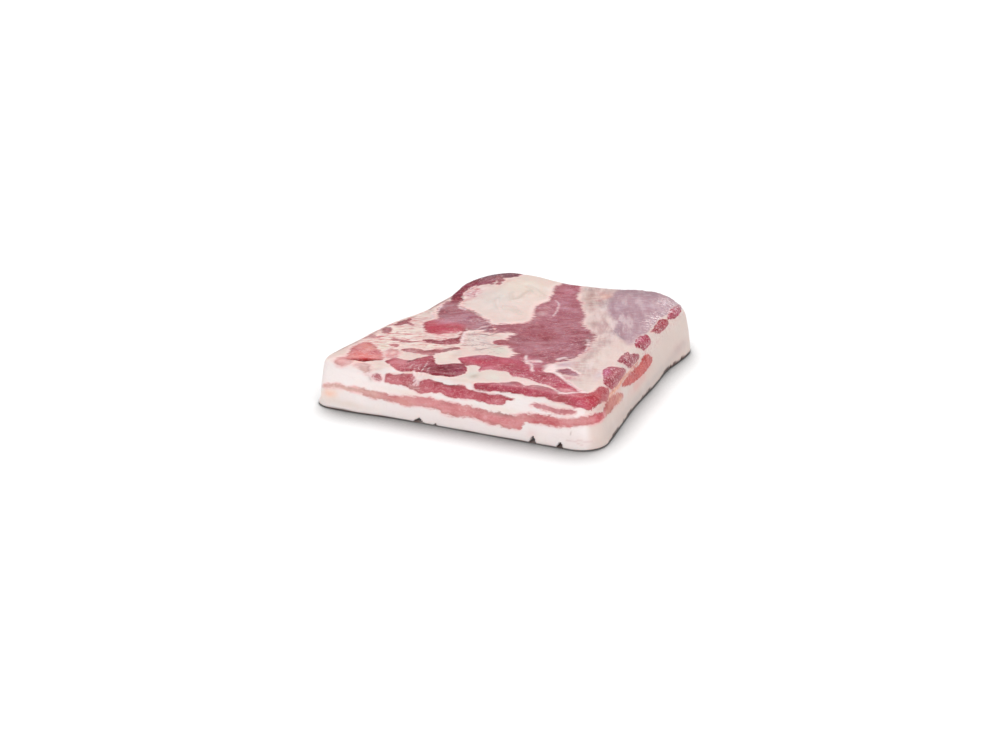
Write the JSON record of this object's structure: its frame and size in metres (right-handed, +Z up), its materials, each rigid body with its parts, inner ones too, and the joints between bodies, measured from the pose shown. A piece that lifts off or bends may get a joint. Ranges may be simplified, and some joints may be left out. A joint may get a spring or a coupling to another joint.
{
  "type": "pork belly slab",
  "caption": "Raw squared slab of pork belly lying on its skin, with streaks of lean between fat at the cut front and side, and lean, fat and membrane on top.",
  "frame": {"origin": "Centre of the bottom of the bounding box, on the surface that the skin rests on.", "axes": "+Z up through the slab's thickness. +Y from the streaked cut front to the rear, the slab's longest side. +X to the right as seen facing the cut front."},
  "size_m": [0.2924, 0.3222, 0.0644],
  "materials": {
    "pork_belly": "moist raw meat: waxy pinkish white fat, wet red lean, thin silvery membrane"
  },
  "bodies": {
    "root": {"pork_belly_slab": "pork_belly"}
  },
  "joints": []
}
